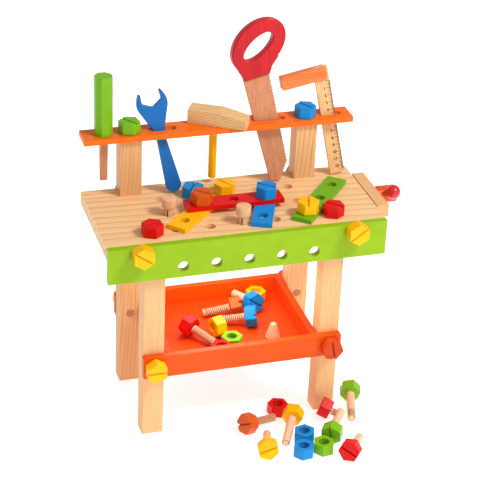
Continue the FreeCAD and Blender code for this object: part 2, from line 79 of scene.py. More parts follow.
PAINTS = {
    "green": srgb(142, 180, 8), "leaf": srgb(118, 178, 16), "strip_green": srgb(104, 168, 16),
    "orange": srgb(226, 80, 6), "rack": srgb(240, 108, 10), "tray": srgb(228, 66, 12),
    "yellow": srgb(248, 182, 0), "red": srgb(214, 6, 8), "blue": srgb(3, 134, 206),
    "head_orange": srgb(206, 84, 18), "dark_orange": srgb(204, 64, 12),
}
WHITE = (1, 1, 1, 1)


# ---------------------------------------------------------------- node helpers
class Tree:
    """Small helper for building one material's nodes."""

    def __init__(self, name):
        self.material = bpy.data.materials.new(name)
        self.material.use_nodes = True
        self.nodes = self.material.node_tree.nodes
        self.links = self.material.node_tree.links
        self.shader = self.nodes["Principled BSDF"]

    def feed(self, socket, value):
        """Links another node's output, or sets a plain value."""
        if hasattr(value, "is_linked"):
            self.links.new(value, socket)
        else:
            socket.default_value = value

    def add(self, kind, **inputs):
        node = self.nodes.new("ShaderNode" + kind)
        for key, value in inputs.items():
            self.feed(node.inputs[key.replace("_", " ")], value)
        return node

    def coords(self, turn, stretch, seed):
        """Object coordinates turned by Euler angles, then stretched."""
        source = self.add("TexCoord").outputs["Object"]
        turned = self.add("Mapping", Vector=source, Rotation=turn)
        placed = self.add("Mapping", Vector=turned.outputs[0], Scale=stretch, Location=seed)
        return placed.outputs[0]

    def noise(self, vector, scale, detail=3.0, rough=0.55, distortion=0.0):
        node = self.add("TexNoise", Vector=vector, Scale=scale, Detail=detail, Roughness=rough,
                        Distortion=distortion)
        return node.outputs["Fac"]

    def ramp(self, fac, *stops):
        node = self.add("ValToRGB", Fac=fac)
        elements = node.color_ramp.elements
        while len(elements) < len(stops):
            elements.new(0.5)
        for element, (at, color) in zip(elements, stops):
            element.position, element.color = at, color
        return node.outputs[0]

    def math(self, operation, a, b=0.0):
        node = self.nodes.new("ShaderNodeMath")
        node.operation = operation
        for socket, value in zip(node.inputs, (a, b)):
            self.feed(socket, value)
        return node.outputs[0]

    def mix(self, fac, a, b, blend="MIX"):
        node = self.nodes.new("ShaderNodeMix")
        node.data_type, node.blend_type = "RGBA", blend
        for socket, value in zip((node.inputs[0], node.inputs[6], node.inputs[7]), (fac, a, b)):
            self.feed(socket, value)
        return node.outputs[2]

    def dot(self, a, b):
        node = self.nodes.new("ShaderNodeVectorMath")
        node.operation = "DOT_PRODUCT"
        self.feed(node.inputs[0], a)
        self.feed(node.inputs[1], b)
        return node.outputs["Value"]

    def edge(self, radius):
        """0 on flat faces, rising to 1 on sharp edges."""
        bevel = self.add("Bevel", Radius=radius)
        bevel.samples = 6
        normal = self.add("NewGeometry").outputs["Normal"]
        away = self.math("SUBTRACT", 1.0, self.dot(bevel.outputs[0], normal))
        return self.math("MINIMUM", self.math("MULTIPLY", away, 6.0), 1.0)

    def finish(self, color, roughness, height, strength, distance, coat=0.0, shine=0.16):
        sockets = self.shader.inputs
        self.feed(sockets["Base Color"], color)
        self.feed(sockets["Roughness"], roughness)
        bump = self.add("Bump", Height=height, Strength=strength, Distance=distance)
        self.links.new(bump.outputs[0], sockets["Normal"])
        sockets["Coat Weight"].default_value = coat
        sockets["Coat Roughness"].default_value = 0.15
        sockets["Specular IOR Level"].default_value = shine
        return self.material


def shade(color, factor):
    return tuple(c * factor for c in color[:3]) + (1.0,)


def mixed(a, b, share):
    return tuple(p + (q - p) * share for p, q in zip(a, b))


TURN = {"x": (0, 0, 0), "y": (0, 0, math.radians(-90)), "z": (0, math.radians(90), 0)}


def pine(name, along, seed, light, dark, rings=130.0, bend=3.0):
    """Lacquered pine: fine growth lines and fibres along one axis."""
    t = Tree(name)
    grain = t.coords(TURN[along], (0.06, 1, 1), (seed, seed * 0.37, seed * 0.71))
    node = t.add("TexWave", Vector=grain, Scale=rings, Distortion=bend, Detail=2.0,
                 Detail_Scale=0.22, Detail_Roughness=0.5)
    node.wave_type, node.bands_direction, node.wave_profile = "BANDS", "DIAGONAL", "SAW"
    late = t.math("POWER", node.outputs["Fac"], 2.6)
    broad = t.noise(t.coords(TURN[along], (0.10, 1, 1), (seed, 0, seed)), 30.0, 2.0, 0.5)
    fibre = t.noise(t.coords(TURN[along], (0.03, 1, 1), (seed, 0, 0)), 800.0, 3.0, 0.7)
    pores = t.noise(t.coords(TURN[along], (0.05, 1, 1), (0, seed, 0)), 300.0, 4.0, 0.7)
    light, dark = srgb(*light), srgb(*dark)
    lines = t.math("MULTIPLY", late, t.math("ADD", t.math("MULTIPLY", broad, 0.9), 0.25))
    color = t.ramp(lines, (0.0, light), (0.35, mixed(light, dark, 0.22)), (1.0, dark))
    for share, layer, low, high, tint in ((0.5, broad, 0.35, 0.65, (0.90, 0.87, 0.83, 1)),
                                          (0.6, fibre, 0.3, 0.7, (0.84, 0.80, 0.74, 1)),
                                          (0.5, pores, 0.35, 0.6, (0.84, 0.77, 0.70, 1))):
        color = t.mix(share, color, t.ramp(layer, (low, tint), (high, WHITE)), "MULTIPLY")
    # Painted highlight: the edges are mixed toward a tone brighter than the wood's lightest.
    color = t.mix(t.math("MULTIPLY", t.edge(0.0007), 0.35), color, shade(light, 1.1))
    rough = t.math("ADD", t.math("MULTIPLY", fibre, 0.25), 0.36)
    height = t.math("ADD", t.math("MULTIPLY", late, 0.5), t.math("MULTIPLY", fibre, 0.5))
    return t.finish(color, rough, height, 0.3, 0.0003, 0.05)


def paint(name, color, along="x", seed=0.0, grain=0.25, gloss=0.36, wear=0.4, coat=0.06):
    """Satin paint over wood: slight mottling, faint raised grain, paler and thinner on the edges."""
    t = Tree(name)
    mottle = t.noise(t.coords((0, 0, 0), (1, 1, 1), (seed, seed, seed)), 38.0, 3.0, 0.6)
    fibre = t.noise(t.coords(TURN[along], (0.04, 1, 1), (seed, 0, seed)), 420.0, 4.0, 0.65)
    base = t.ramp(mottle, (0.3, shade(color, 0.93)), (0.7, shade(color, 1.06)))
    streak = t.ramp(fibre, (0.35, shade(color, 0.80)), (0.62, color))
    tone = t.mix(grain, base, streak)
    thin = t.mix(0.45, color, (0.75, 0.45, 0.22, 1))
    edge = t.edge(0.0006)
    patch = t.noise(t.coords((0, 0, 0), (1, 1, 1), (0, seed, 0)), 160.0, 3.0, 0.6)
    worn = t.math("MULTIPLY", edge, t.math("MULTIPLY", t.math("GREATER_THAN", patch, 0.52), wear))
    tone = t.mix(worn, tone, thin)
    rough = t.math("ADD", t.math("MULTIPLY", mottle, 0.18), gloss - 0.09)
    height = t.math("ADD", t.math("MULTIPLY", fibre, 0.7), t.math("MULTIPLY", mottle, 0.3))
    return t.finish(tone, rough, height, 0.12 + 0.2 * grain, 0.0003, coat)


def stain(name, light, dark, along="x", seed=0.0, scale=130.0, gloss=0.4, root=0.0):
    """Stained or bare hardwood with fine streaks; root is the thread's root radius, where a ring of painted
    shade darkens the thread's grooves.
    """
    t = Tree(name)
    streak = t.noise(t.coords(TURN[along], (0.06, 1, 1), (seed, 0, 0)), scale, 5.0, 0.65, 0.4)
    fleck = t.noise(t.coords(TURN[along], (0.10, 1, 1), (0, seed, 0)), scale * 5, 3.0, 0.7)
    base = t.ramp(streak, (0.32, dark), (0.62, light))
    color = t.mix(0.4, base, t.ramp(fleck, (0.38, dark), (0.55, light)))
    # Painted highlight: the edges are mixed toward a tone brighter than the wood's lightest.
    color = t.mix(t.math("MULTIPLY", t.edge(0.0006), 0.35), color, shade(light, 1.12))
    # Painted shade: a dark ring at the thread's root radius darkens the grooves of the thread.
    if root:
        flat = t.add("Mapping", Vector=t.add("TexCoord").outputs["Object"], Scale=(1, 1, 0))
        length = t.nodes.new("ShaderNodeVectorMath")
        length.operation = "LENGTH"
        t.links.new(flat.outputs[0], length.inputs[0])
        share = t.math("MULTIPLY", length.outputs["Value"], 1 / (root + THREAD_DEPTH))
        painted_groove_shade = (0.30, 0.18, 0.12, 1)
        groove_shade_ring = t.ramp(share, (0.70, WHITE), (0.77, painted_groove_shade), (0.81, painted_groove_shade), (0.98, WHITE))
        color = t.mix(1.0, color, groove_shade_ring, "MULTIPLY")
    rough = t.math("ADD", t.math("MULTIPLY", streak, 0.22), gloss - 0.1)
    return t.finish(color, rough, fleck, 0.2, 0.0003, 0.05)


LACQUER = {n: paint("paint_" + n, c, seed=3.1 + i) for i, (n, c) in enumerate(PAINTS.items())}
# The shafts' wood carries painted shade in its thread grooves, at root radius 4.3 mm.
SHAFT_WOOD = stain("turned_beech", srgb(244, 200, 164), srgb(220, 164, 124), "z", 5.0, 150.0, root=0.0043)
# Darker shaft wood for the rear-rail bolts: partly their darker end grain, partly painted shade for their
# place in the shade behind the bench.
SHADED_SHAFT_WOOD = stain("shaded_end_beech", srgb(196, 138, 100), srgb(160, 102, 70), "y", 9.0, 150.0)
PIN_WOOD = stain("pin_beech", srgb(232, 184, 142), srgb(200, 140, 98), "x", 4.0, 150.0)
BLADE_WOOD = stain("blade_beech", srgb(206, 142, 104), srgb(180, 114, 78), "z", 2.0, 260.0)
PEG_WOOD = stain("peg_beech", srgb(232, 186, 144), srgb(206, 150, 106), "z", 7.0, 120.0)


def set_material(obj, *materials):
    mesh = obj.data
    for k, material in enumerate(materials):
        if k < len(mesh.materials):
            mesh.materials[k] = material
        else:
            mesh.materials.append(material)


# ---------------------------------------------------------------- boards: CAD nodes with softened edges
def soften(node, width):
    """Rounds a CAD node's sharp edges with modifiers; the node's own mesh stays as it is."""
    obj = NODES[node]
    weld = obj.modifiers.new("weld", "WELD")
    weld.merge_threshold = WELD_REACH
    planar = obj.modifiers.new("planar", "DECIMATE")
    planar.decimate_type, planar.angle_limit = "DISSOLVE", math.radians(0.4)
    bevel = obj.modifiers.new("edge", "BEVEL")
    bevel.width, bevel.segments, bevel.limit_method = width, 2, "ANGLE"
    bevel.angle_limit = math.radians(40)
    bevel.use_clamp_overlap = True
    normals = obj.modifiers.new("normals", "WEIGHTED_NORMAL")
    normals.keep_sharp = True


BOARDS = {
    "worktop": pine("pine_worktop", "x", 0.31, (248, 206, 152), (206, 150, 100), 40.0, 17.0),
    "left_front_leg": pine("pine_leg_a", "z", 0.62, (244, 196, 142), (208, 146, 90), 190.0),
    "right_front_leg": pine("pine_leg_b", "z", 1.37, (242, 192, 138), (206, 142, 86), 170.0),
    "left_rear_post": pine("pine_leg_c", "z", 2.21, (238, 184, 130), (192, 128, 78), 110.0, 6.0),
    "right_rear_post": pine("pine_leg_d", "z", 3.05, (242, 190, 136), (196, 134, 82), 110.0, 6.0),
    "vice_jaw": pine("pine_jaw", "y", 1.83, (238, 188, 136), (190, 130, 82), 160.0, 3.5),
    "hammer_head": pine("pine_hammer", "x", 0.77, (240, 196, 140), (170, 112, 58), 150.0, 2.0),
    "front_apron": paint("apron_paint", PAINTS["green"], "x", 0.4, 0.22),
    "front_rail": paint("front_rail_paint", PAINTS["orange"], "x", 1.1, 0.2),
    "rear_rail": paint("rear_rail_paint", PAINTS["orange"], "x", 1.9, 0.2),
    "tool_rack": paint("rack_paint", PAINTS["rack"], "x", 2.3, 0.2),
    "tray_left_wall": paint("tray_wall_a", PAINTS["tray"], "y", 2.9, 0.2),
    "tray_right_wall": paint("tray_wall_b", PAINTS["tray"], "y", 3.3, 0.2),
    "tray_bottom": paint("tray_floor_paint", PAINTS["tray"], "x", 3.7, 0.2),
    "yellow_strip": LACQUER["yellow"], "blue_strip": LACQUER["blue"],
    "red_strip": LACQUER["red"], "green_strip": LACQUER["strip_green"],
    "screwdriver_handle": paint("driver_paint", PAINTS["leaf"], "z", 4.4, 0.45),
    "screwdriver_blade": BLADE_WOOD,
    "hammer_handle": paint("handle_paint", PAINTS["yellow"], "z", 5.1, 0.2),
    "saw_blade": BLADE_WOOD,
    "square_stock": stain("stock_stain", srgb(236, 130, 70), srgb(208, 98, 46), "x", 3.0, 160.0),
    "square_rule": stain("rule_wood", srgb(240, 190, 134), srgb(216, 160, 104), "z", 4.0, 190.0),
}
for node, material in BOARDS.items():
    set_material(NODES[node], material)
    soften(node, BLADE_SOFTNESS if node == "saw_blade" else EDGE_SOFTNESS)


# ---------------------------------------------------------------- making and showing pieces
def add_object(name, data):
    obj = bpy.data.objects.new(name, data)
    bpy.context.scene.collection.objects.link(obj)
    return obj


def new_mesh(name, bm):
    mesh = bpy.data.meshes.new(name)
    bm.to_mesh(mesh)
    bm.free()
    return mesh


def evaluated_mesh(obj):
    """A new mesh of the object with its modifiers or curve settings applied."""
    dg = bpy.context.evaluated_depsgraph_get()
    dg.update()
    return bpy.data.meshes.new_from_object(obj.evaluated_get(dg))


def apply_modifiers(obj):
    mesh = evaluated_mesh(obj)
    obj.modifiers.clear()
    obj.data = mesh


def slot_shape(size, turn, height):
    """A box of the given size, turned about Z, with its middle at the given height."""
    bm = bmesh.new()
    bmesh.ops.create_cube(bm, size=1)
    bmesh.ops.scale(bm, vec=size, verts=bm.verts)
    bmesh.ops.rotate(bm, matrix=Matrix.Rotation(turn, 3, "Z"), verts=bm.verts)
    bmesh.ops.translate(bm, vec=(0, 0, height), verts=bm.verts)
    return bm


def cut_away(obj, bm):
    """Adds a boolean cut by the given shape; the cutter it returns is removed once applied."""
    cutter = add_object(obj.name + "_cut", new_mesh(obj.name + "_cut", bm))
    cut = obj.modifiers.new("cut", "BOOLEAN")
    cut.object, cut.solver = cutter, "EXACT"
    return cutter


def finish_mesh(obj, smooth_angle=38):
    """Smooth shading with crisp corners, flat faces kept flat."""
    for polygon in obj.data.polygons:
        polygon.use_smooth = True
    obj.data.set_sharp_from_angle(angle=math.radians(smooth_angle))
    normals = obj.modifiers.new("normals", "WEIGHTED_NORMAL")
    normals.keep_sharp = True


def frame_matrix(x, y, z, origin):
    matrix = Matrix.Identity(4)
    for row in range(3):
        matrix[row][0], matrix[row][1], matrix[row][2] = x[row], y[row], z[row]
        matrix[row][3] = origin[row]
    return matrix


def stand_for(obj, node):
    """Makes the piece ride its CAD node's body in that node's place."""
    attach(obj, BODY_OF[node])
    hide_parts(node)


# ---------------------------------------------------------------- bolts and nuts
def islands(node):
    """Vertex arrays of the node's separate solids, in metres, from left to right."""
    mesh = NODES[node].data
    co = np.array([v.co for v in mesh.vertices])
    keys = [tuple(k) for k in np.round(co * 1e5).astype(int)]
    first, parent = {}, list(range(len(co)))

    def root(i):
        while parent[i] != i:
            parent[i] = parent[parent[i]]
            i = parent[i]
        return i

    for i, key in enumerate(keys):
        parent[i] = first.setdefault(key, i)
    for polygon in mesh.polygons:
        ids = list(polygon.vertices)
        for other in ids[1:]:
            parent[root(other)] = root(ids[0])
    groups = {}
    for i, key in enumerate(keys):
        if first[key] == i:
            groups.setdefault(root(i), []).append(co[i])
    return sorted((np.array(g) for g in groups.values()), key=lambda g: g[:, 0].mean())


def hex_frame(points, is_nut):
    """Matrix of a hex piece, origin at its base plane, +Z along its axis and +X to a corner,
    and the piece's points in that frame."""
    centre = points.mean(0)
    reach = np.linalg.norm(points - centre, axis=1)
    chosen = points[reach > 0.9 * reach.max()] if is_nut else points
    centre = chosen.mean(0)
    vectors = np.linalg.eigh(np.cov((chosen - centre).T))[1]
    axis = vectors[:, 0 if is_nut else 2]
    along = (points - centre) @ axis
    flat = (points - centre) - np.outer(along, axis)
    radius = np.linalg.norm(flat, axis=1)
    corners = radius > radius.max() - 0.0006
    if along[corners].mean() < 0 or (is_nut and axis[2] < 0):
        axis, along = -axis, -along
    base = centre + axis * along[corners].min()
    corner = flat[corners][0] / np.linalg.norm(flat[corners][0])
    side = np.cross(axis, corner)
    local = np.stack([(points - base) @ corner, (points - base) @ side, (points - base) @ axis], 1)
    return frame_matrix(corner, side, axis, base), local


def hex_head(name, radius, height, slot_angle=None, bore=0.0):
    """Hexagon with softened corners, and a cut slot or, without a slot angle, a bore."""
    bm = bmesh.new()
    bmesh.ops.create_cone(bm, cap_ends=True, segments=6, radius1=radius, radius2=radius, depth=height)
    bmesh.ops.translate(bm, vec=(0, 0, height / 2), verts=bm.verts)
    obj = add_object(name, new_mesh(name, bm))
    if slot_angle is not None:
        cutter_bm = slot_shape((SLOT_LENGTH, SLOT_WIDTH, 2 * SLOT_DEPTH), slot_angle, height)
    else:
        cutter_bm = bmesh.new()
        bmesh.ops.create_cone(cutter_bm, cap_ends=True, segments=40, radius1=bore, radius2=bore,
                              depth=height * 3)
    cutter = cut_away(obj, cutter_bm)
    bevel = obj.modifiers.new("soft", "BEVEL")
    bevel.width, bevel.segments, bevel.angle_limit = CORNER_SOFTNESS, 3, math.radians(35)
    apply_modifiers(obj)
    bpy.data.objects.remove(cutter)
    return obj


def thread(radius, z_low, z_high, pitch=THREAD_PITCH, depth=THREAD_DEPTH, steps=8, inside=False):
    """Helical thread as a grid of vertices and faces, steps rows to a turn."""
    around = 32
    rows = max(2, int((z_high - z_low) / pitch * steps))
    verts, faces = [], []
    for i in range(rows + 1):
        z = z_low + (z_high - z_low) * i / rows
        fade = min(1.0, (z_high - z) / pitch, (z - z_low) / (0.7 * pitch))
        for j in range(around):
            a = 2 * math.pi * j / around
            wave = abs(((z / pitch - j / around) % 1.0) - 0.5) * 2
            cut = depth * (1 - wave) * max(fade, 0)
            if inside:
                r = radius + cut
            else:
                r = radius - cut - (TIP_CHAMFER if i == 0 else 0)
            verts.append((r * math.cos(a), r * math.sin(a), z))
    for i in range(rows):
        for j in range(around):
            k = (j + 1) % around
            faces.append((i * around + j, i * around + k, (i + 1) * around + k, (i + 1) * around + j))
    if not inside:
        faces.append(tuple(reversed(range(around))))
    return verts, faces


def add_geometry(bm, verts, faces, material_index):
    made = [bm.verts.new(v) for v in verts]
    for f in faces:
        face = bm.faces.new([made[i] for i in f])
        face.material_index = material_index


def build_bolt(name, matrix, local, color, threaded, shaft_wood):
    """A bolt like the CAD one, with its slot, soft corners and a thread over the given length."""
    low, height = local[:, 2].min(), local[:, 2].max()
    reach = np.hypot(local[:, 0], local[:, 1])
    shaft_r = reach[local[:, 2] < low + 1e-4].max()
    slot = local[(abs(local[:, 2] - (height - SLOT_DEPTH)) < 0.0002) & (reach > 0.010)]
    far = slot[np.argmax(np.hypot(slot[:, 0], slot[:, 1]))]
    near = [math.atan2(p[1], p[0]) for p in slot if np.dot(p[:2], far[:2]) > 0]
    head = hex_head(name, reach.max(), height, float(np.mean(np.unwrap(near))))
    bm = bmesh.new()
    bm.from_mesh(head.data)
    top = min(-NECK, low + threaded)
    if threaded:
        add_geometry(bm, *thread(shaft_r, low, top), 1)
    if not threaded or top < -NECK:
        start = top - 0.0003 if threaded else low
        add_geometry(bm, *thread(shaft_r, start, HEAD_OVERLAP, pitch=0.5, depth=0.0, steps=800), 1)
    bm.to_mesh(head.data)
    bm.free()
    set_material(head, LACQUER[color], shaft_wood)
    finish_mesh(head)
    head.matrix_world = matrix
    return head


def build_nut(name, matrix, local, color):
    """A nut like the CAD one, with soft corners and a threaded bore."""
    radius = np.hypot(local[:, 0], local[:, 1])
    height = local[:, 2].max()
    bore = radius.min()
    nut = hex_head(name, radius.max(), height, None, bore + 0.0006)
    bm = bmesh.new()
    bm.from_mesh(nut.data)
    add_geometry(bm, *thread(bore - 0.0002, 0.0004, height - 0.0004, inside=True), 0)
    bm.to_mesh(nut.data)
    bm.free()
    set_material(nut, LACQUER[color])
    finish_mesh(nut)
    nut.matrix_world = matrix
    return nut


def hardware(node, kind, looks):
    """Builds the detailed pieces that stand for one CAD node of bolts or nuts.

    looks holds (x, y, colour, thread length) with the place of each one's base in bench mm."""
    for k, points in enumerate(islands(node)):
        name = node + "_look" + (str(k + 1) if len(looks) > 1 else "")
        matrix, local = hex_frame(points, kind == "nut")
        at = (matrix.translation - BENCH) * 1000
        x, y, color, threaded = min(looks, key=lambda p: math.hypot(p[0] - at.x, p[1] - at.y))
        if kind == "nut":
            piece = build_nut(name, matrix, local, color)
        else:
            # Rear-rail bolts take the darker wood, partly painted shade for their shaded place.
            shaft_wood = SHADED_SHAFT_WOOD if node.startswith("rear_rail") else SHAFT_WOOD
            piece = build_bolt(name, matrix, local, color, threaded, shaft_wood)
        stand_for(piece, node)


SINGLE = {
    "apron_bolt_left": "yellow", "apron_bolt_right": "yellow", "front_rail_bolt_left": "yellow",
    "front_rail_bolt_right": "dark_orange", "rear_rail_bolt_left": "yellow",
    "rear_rail_bolt_right": "head_orange", "post_bolt_left": "blue", "post_bolt_right": "blue",
    "rack_bolt_left": "leaf", "rack_bolt_right": "blue", "worktop_bolt_left": "red",
    "worktop_bolt_right": "red", "strip_bolt_orange": "head_orange", "strip_bolt_blue": "blue",
    "strip_bolt_yellow": "yellow", "loose_bolt_blue": "blue", "loose_bolt_yellow": "yellow",
}
for node, color in SINGLE.items():
    hardware(node, "bolt", [(0, 0, color, FULL)])
hardware("tray_bolts", "bolt", [(43.2, 123.2, "blue", NONE), (12.4, 114.3, "head_orange", FULL),
                                (25.4, 85.0, "blue", FULL), (-50, 72, "red", FULL)])
hardware("tray_nuts", "nut", [(58.6, 146, "yellow", NONE), (-25, 23.9, "red", NONE),
                              (-6, 42, "leaf", NONE), (-10.3, 71.9, "yellow", NONE)])
hardware("floor_short_bolts", "bolt", [(7.2, -18.5, "head_orange", FULL), (11.9, -71.8, "yellow", NONE),
                                       (115, -101.5, "red", NONE), (106, -57, "leaf", NONE),
                                       (117, -13.5, "red", FULL)])
hardware("floor_long_bolts", "bolt", [(60.7, -21.9, "yellow", NONE), (154.8, 13.9, "leaf", 0.015)])
hardware("floor_nuts", "nut", [(52.9, 14.6, "red", NONE), (68, -51.7, "blue", NONE),
                               (56.8, -82.5, "blue", NONE), (84.5, -81.1, "leaf", NONE)])


# ---------------------------------------------------------------- turned pieces
def show(obj, node, material):
    """Gives the piece its material and makes it stand for a CAD node."""
    set_material(obj, material)
    stand_for(obj, node)


def lathe(name, profile, around=56):
    """Turned piece about Z from (radius, height) points, closed where the radius is zero."""
    bm = bmesh.new()
    rings = []
    for r, z in profile:
        if r < 1e-7:
            rings.append([bm.verts.new((0, 0, z))])
        else:
            rings.append([bm.verts.new((r * math.cos(2 * math.pi * k / around),
                                        r * math.sin(2 * math.pi * k / around), z))
                          for k in range(around)])
    for a, b in zip(rings, rings[1:]):
        for k in range(around):
            n = (k + 1) % around
            if len(a) == 1:
                bm.faces.new((a[0], b[k], b[n]))
            elif len(b) == 1:
                bm.faces.new((a[k], b[0], a[n]))
            else:
                bm.faces.new((a[k], b[k], b[n], a[n]))
    bmesh.ops.recalc_face_normals(bm, faces=bm.faces)
    return add_object(name, new_mesh(name, bm))


def main_axes(points):
    """Centre and unit axes of a point cloud, from the thinnest way to the longest."""
    corners = np.unique(np.round(points, 5), axis=0)
    centre = (corners.max(0) + corners.min(0)) / 2
    vectors = np.linalg.eigh(np.cov((corners - corners.mean(0)).T))[1]
    return centre, vectors.T


def upright(direction, origin):
    """Matrix whose Z axis is the given direction."""
    turn = Vector(direction).to_track_quat("Z", "Y").to_matrix().to_4x4()
    turn.translation = Vector(origin)
    return turn


def nail(node, slit_turn):
    """Peg with a rounded head and a slit stem."""
    lo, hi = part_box(node)
    radius = (hi.x - lo.x) / 2
    head, stem_r, slit, slit_depth = 0.013, 0.0063, 0.0016, 0.05
    length = hi.z - lo.z
    profile = [(0, 0), (radius - 0.0012, 0), (radius - 0.0004, -0.0004), (radius, -0.0013),
               (radius - 0.0005, 0.0012 - head), (radius - 0.0014, 0.0003 - head), (radius - 0.0024, -head),
               (stem_r, -head - 0.0001), (stem_r, 0.001 - length), (stem_r - 0.001, -length), (0, -length)]
    peg = lathe(node + "_look", profile)
    middle = -head - 0.002 - slit_depth / 2
    cutter = cut_away(peg, slot_shape((SLOT_LENGTH, slit, slit_depth), slit_turn, middle))
    apply_modifiers(peg)
    bpy.data.objects.remove(cutter)
    finish_mesh(peg)
    peg.location = ((lo.x + hi.x) / 2, (lo.y + hi.y) / 2, hi.z)
    show(peg, node, PEG_WOOD)


def rod_piece(node, index, points, threaded=False):
    """Round bar with eased ends, or a screw, along the solid's longest axis."""
    tip = 0.0006
    centre, axes = main_axes(points)
    axis = axes[2] if axes[2][0] > 0 else -axes[2]
    along = (points - centre) @ axis
    radius = np.linalg.norm((points - centre) - np.outer(along, axis), axis=1).max()
    half = (along.max() - along.min()) / 2
    name = node + "_look" + str(index + 1)
    if threaded:
        bm = bmesh.new()
        add_geometry(bm, *thread(radius, -half, half - 0.0001, pitch=0.003), 0)
        rod = add_object(name, new_mesh(name, bm))
    else:
        rod = lathe(name, [(0, half), (radius - tip, half), (radius, half - tip),
                           (radius, tip - half), (radius - tip, -half), (0, -half)])
    finish_mesh(rod)
    rod.matrix_world = upright(axis, centre)
    show(rod, node, PIN_WOOD)


def ball_piece(node, index, points, material):
    """Smooth ball in place of the CAD one."""
    centre = (points.max(0) + points.min(0)) / 2
    radius = float((points.max(0) - points.min(0)).max() / 2)
    bm = bmesh.new()
    bmesh.ops.create_uvsphere(bm, u_segments=48, v_segments=28, radius=radius)
    ball = add_object(node + "_look" + str(index + 1), new_mesh(node, bm))
    finish_mesh(ball)
    ball.location = centre
    show(ball, node, material)


def tray_nail():
    """The nail that stands on its head in the tray, with a tapered stem."""
    lo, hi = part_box("tray_nail")
    base_r, tall = (hi.x - lo.x) / 2, hi.z - lo.z
    profile = [(0, 0), (base_r - 0.0008, 0), (base_r, 0.0008), (base_r - 0.001, 0.005),
               (0.0084, 0.0054), (0.0042, tall - 0.0009), (0.0030, tall), (0, tall)]
    peg = lathe("tray_nail_look", profile)
    finish_mesh(peg)
    peg.location = ((lo.x + hi.x) / 2, (lo.y + hi.y) / 2, lo.z)
    show(peg, "tray_nail", PEG_WOOD)


def vice_knob():
    """The vice's turned knob, rounded most at its outer end."""
    lo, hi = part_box("vice_knob")
    radius, half = (hi.y - lo.y) / 2, (hi.x - lo.x) / 2
    profile = [(0, half), (radius - 0.0018, half), (radius - 0.0005, half - 0.0006),
               (radius, half - 0.0018), (radius, 0.0012 - half), (radius - 0.0012, -half), (0, -half)]
    knob = lathe("vice_knob_look", profile)
    finish_mesh(knob)
    knob.matrix_world = upright((1, 0, 0), (lo + hi) / 2)
    show(knob, "vice_knob", LACQUER["orange"])


nail("nail_left", math.radians(60))
nail("nail_right", math.radians(60))
tray_nail()
for node in ("vice_guide_pins", "vice_bar", "vice_spindle"):
    for k, points in enumerate(islands(node)):
        rod_piece(node, k, points, threaded=node == "vice_spindle")
BALL_PAINT = paint("ball_paint", srgb(200, 8, 22), "x", 6.0, 0.1, 0.16, 0.1, 0.9)
for k, points in enumerate(islands("vice_balls")):
    ball_piece("vice_balls", k, points, BALL_PAINT)
vice_knob()


# ---------------------------------------------------------------- flat tools with rounded edges
def slab(node, material, rounding):
    """Rebuilds a flat piece from the outline of its own front face, with rounded edges."""
    mesh = NODES[node].data
    corners = np.unique(np.round([v.co for v in mesh.vertices], 5), axis=0)
    areas = np.array([p.area for p in mesh.polygons])
    facing = np.array([p.normal for p in mesh.polygons])
    key = np.round(facing, 2)
    front = max((tuple(k) for k in np.unique(key, axis=0) if k[1] < 0),
                key=lambda k: areas[(key == k).all(1)].sum())
    normal = Vector(np.average(facing[(key == front).all(1)], axis=0)).normalized()
    outer = max(p.center.dot(normal) for p in mesh.polygons)
    chosen = [p for p in mesh.polygons
              if p.normal.dot(normal) > 0.9998 and p.center.dot(normal) > outer - 0.0002]
    across = Vector((1, 0, 0)) - normal * normal.x
    across.normalize()
    up = normal.cross(across)
    if up.z < 0:
        up, across = -up, -across
    depth = [Vector(p).dot(normal) for p in corners]
    middle, thick = (max(depth) + min(depth)) / 2, max(depth) - min(depth)
    used, place = {}, {}

    def tag(index):
        co = mesh.vertices[index].co
        flat = tuple(round(c, 6) for c in co)
        place.setdefault(flat, (co.dot(across), co.dot(up)))
        return flat

    for polygon in chosen:
        ids = [tag(v) for v in polygon.vertices]
        for a, b in zip(ids, ids[1:] + ids[:1]):
            if (b, a) in used:
                del used[(b, a)]
            else:
                used[(a, b)] = True
    follow = {a: b for a, b in used}
    curve = bpy.data.curves.new(node + "_outline", "CURVE")
    curve.dimensions, curve.fill_mode = "2D", "BOTH"
    while follow:
        start, here = next(iter(follow.items()))
        loop = [start]
        del follow[start]
        while here != start:
            loop.append(here)
            here = follow.pop(here)
        spline = curve.splines.new("POLY")
        spline.points.add(len(loop) - 1)
        for point, flat in zip(spline.points, loop):
            point.co = (*place[flat], 0, 1)
        spline.use_cyclic_u = True
    curve.extrude = thick / 2 - rounding
    curve.bevel_depth, curve.bevel_resolution, curve.offset = rounding, 3, -rounding
    outline = add_object(node + "_outline", curve)
    piece = add_object(node + "_look", evaluated_mesh(outline))
    bpy.data.objects.remove(outline)
    weld = piece.modifiers.new("weld", "WELD")
    weld.merge_threshold = WELD_REACH
    apply_modifiers(piece)
    piece.data.materials.clear()
    finish_mesh(piece, 50)
    piece.matrix_world = frame_matrix(across, up, normal, normal * middle)
    show(piece, node, material)


